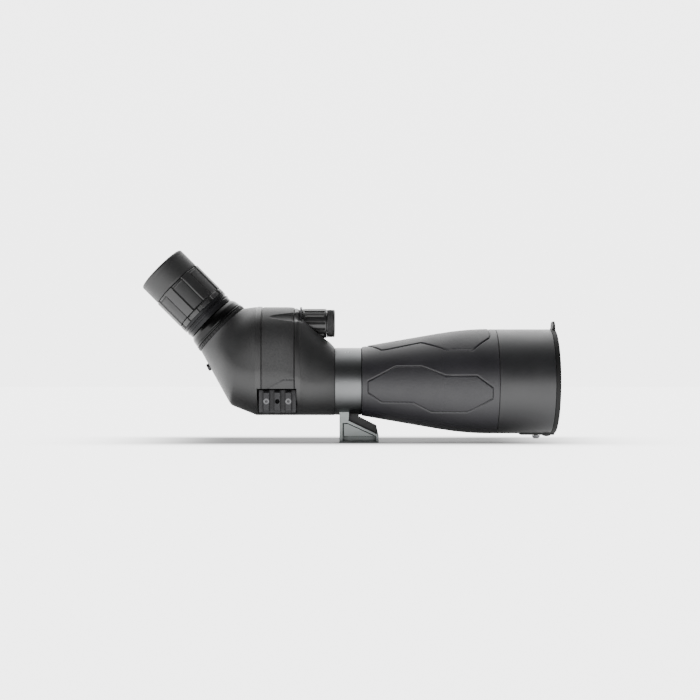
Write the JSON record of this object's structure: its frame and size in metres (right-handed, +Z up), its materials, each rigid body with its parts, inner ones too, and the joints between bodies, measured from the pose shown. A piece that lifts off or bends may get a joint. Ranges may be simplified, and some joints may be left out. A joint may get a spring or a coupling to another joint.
{
  "type": "spotting scope",
  "caption": "Angled spotting scope with tapered armoured barrel, sliding sunshade, hinged front cap, zoom eyepiece, dual focus knobs and a rotating tripod collar.",
  "frame": {"origin": "centre of the tripod thread on the bottom face of the foot", "axes": "+X along the optical axis towards the objective, +Z up from the foot, the rail is on the -Y side"},
  "size_m": [0.3827, 0.0985, 0.1783],
  "materials": {
    "collar_metal": "satin anodised",
    "foot_core": "satin black",
    "foot_cheek": "satin light grey",
    "steel": "bright",
    "brass": "turned",
    "knob_black": "fine texture",
    "tube_black": "black anodised",
    "housing_armour": "fine grain",
    "rail_black": "hard black anodised",
    "dark_steel": "blackened",
    "barrel_armour": "fine grain, stippled panels",
    "lens_glass": "coated",
    "soft_rubber": "matte",
    "sunshade_black": "fine texture",
    "gloss_black": "polished"
  },
  "bodies": {
    "tripod_collar": {"collar_ring": "collar_metal", "foot_body": "foot_core", "foot_cheek_near": "foot_cheek", "foot_cheek_far": "foot_cheek", "tripod_bush": "steel", "foot_screws": "steel"},
    "brake_shoe": {"brake_shoe": "brass"},
    "lock_knob": {"lock_knob": "knob_black"},
    "scope_body": {"main_tube": "tube_black", "prism_housing": "housing_armour", "accessory_rail": "rail_black", "rail_screws": "dark_steel", "button_seat": "steel", "button_spring": "steel", "port_ring": "knob_black", "barrel_tube": "tube_black", "barrel_armour": "barrel_armour", "objective_cell": "tube_black", "objective_crown": "lens_glass", "objective_flint": "lens_glass", "objective_retainer": "tube_black", "cell_o_ring": "soft_rubber", "baffles": "tube_black", "roof_prism": "lens_glass", "prism_cradle": "tube_black", "prism_strap": "steel", "prism_screws": "steel", "guide_rods": "steel", "focus_bush": "tube_black", "hood_ring": "soft_rubber", "eyepiece_body": "tube_black", "scale_ring": "tube_black", "field_stop": "tube_black", "field_lens": "lens_glass", "eye_lens": "lens_glass", "eye_lens_retainer": "tube_black"},
    "sunshade": {"sunshade": "sunshade_black", "tether_stud": "steel", "tether_strap": "soft_rubber"},
    "front_cap": {"front_cap": "soft_rubber"},
    "coarse_knob": {"coarse_knob": "knob_black"},
    "fine_knob": {"fine_knob": "knob_black"},
    "lead_screw": {"lead_screw": "steel", "reduction_balls": "steel"},
    "focus_carriage": {"focus_carriage": "tube_black", "focus_lens": "lens_glass"},
    "release_button": {"release_button": "dark_steel"},
    "lock_ring": {"lock_ring": "gloss_black"},
    "zoom_ring": {"zoom_ring": "soft_rubber", "cam_sleeve": "brass"},
    "zoom_group_front": {"zoom_cell_front": "tube_black", "zoom_lens_front": "lens_glass"},
    "zoom_group_rear": {"zoom_cell_rear": "tube_black", "zoom_lens_rear": "lens_glass"},
    "eyecup_guide": {"eyecup_guide": "tube_black"},
    "eyecup": {"eyecup_sleeve": "tube_black", "eyecup_rubber": "soft_rubber"}
  },
  "joints": [
    {"name": "collar_rotation", "type": "hinge", "parent": "tripod_collar", "child": "scope_body", "pos_m": [0, 0, 0.0566], "axis": [1, 0, 0], "continuous": true},
    {"name": "brake_travel", "type": "slide", "parent": "tripod_collar", "child": "brake_shoe", "axis": [0, 1, 0], "range_m": [0, 0.001]},
    {"name": "lock_turn", "type": "hinge", "parent": "brake_shoe", "child": "lock_knob", "pos_m": [-0.01, 0.04, 0.0566], "axis": [0, 1, 0], "range_deg": [0, 360]},
    {"name": "sunshade_slide", "type": "slide", "parent": "scope_body", "child": "sunshade", "axis": [1, 0, 0], "range_m": [0, 0.03]},
    {"name": "cap_flip", "type": "hinge", "parent": "sunshade", "child": "front_cap", "pos_m": [0.1779, 0, 0.0076], "axis": [0, 1, 0], "range_deg": [0, 108]},
    {"name": "focus_coarse", "type": "hinge", "parent": "scope_body", "child": "coarse_knob", "pos_m": [-0.04, 0, 0.1105], "axis": [1, 0, 0], "range_deg": [0, 540]},
    {"name": "focus_travel", "type": "slide", "parent": "scope_body", "child": "focus_carriage", "axis": [1, 0, 0], "range_m": [0, 0.007]},
    {"name": "focus_fine", "type": "hinge", "parent": "coarse_knob", "child": "fine_knob", "pos_m": [-0.04, 0, 0.1105], "axis": [1, 0, 0], "continuous": true},
    {"name": "lead_screw_turn", "type": "hinge", "parent": "coarse_knob", "child": "lead_screw", "pos_m": [-0.04, 0, 0.1105], "axis": [1, 0, 0], "continuous": true},
    {"name": "release_press", "type": "slide", "parent": "scope_body", "child": "release_button", "axis": [0.8829, 0, 0.4695], "range_m": [0, 0.0015], "stiffness_N_per_m": 400, "springref_m": -0.003},
    {"name": "lock_ring_turn", "type": "hinge", "parent": "scope_body", "child": "lock_ring", "pos_m": [-0.0789, 0, 0.0566], "axis": [-0.7071, 0, 0.7071], "range_deg": [0, 30]},
    {"name": "zoom_turn", "type": "hinge", "parent": "scope_body", "child": "zoom_ring", "pos_m": [-0.0789, 0, 0.0566], "axis": [-0.7071, 0, 0.7071], "range_deg": [0, 150]},
    {"name": "zoom_front_travel", "type": "slide", "parent": "scope_body", "child": "zoom_group_front", "axis": [-0.7071, 0, 0.7071], "range_m": [0, 0.008]},
    {"name": "zoom_rear_travel", "type": "slide", "parent": "scope_body", "child": "zoom_group_rear", "axis": [-0.7071, 0, 0.7071], "range_m": [-0.006, 0]},
    {"name": "eyecup_rise", "type": "slide", "parent": "scope_body", "child": "eyecup_guide", "axis": [-0.7071, 0, 0.7071], "range_m": [0, 0.009]},
    {"name": "eyecup_twist", "type": "hinge", "parent": "eyecup_guide", "child": "eyecup", "pos_m": [-0.0789, 0, 0.0566], "axis": [-0.7071, 0, 0.7071], "range_deg": [0, 120]}
  ],
  "couplings": [
    {"joint": "lock_turn", "follows": "brake_travel", "rad_per_m": 6283.1},
    {"joint": "focus_coarse", "follows": "focus_travel", "rad_per_m": 1346.4},
    {"joint": "lead_screw_turn", "follows": "focus_fine", "ratio": 0.1},
    {"joint": "zoom_front_travel", "follows": "zoom_turn", "m_per_rad": 0.0030558},
    {"joint": "zoom_rear_travel", "follows": "zoom_turn", "m_per_rad": -0.0022918},
    {"joint": "eyecup_rise", "follows": "eyecup_twist", "m_per_rad": 0.0042972}
  ]
}
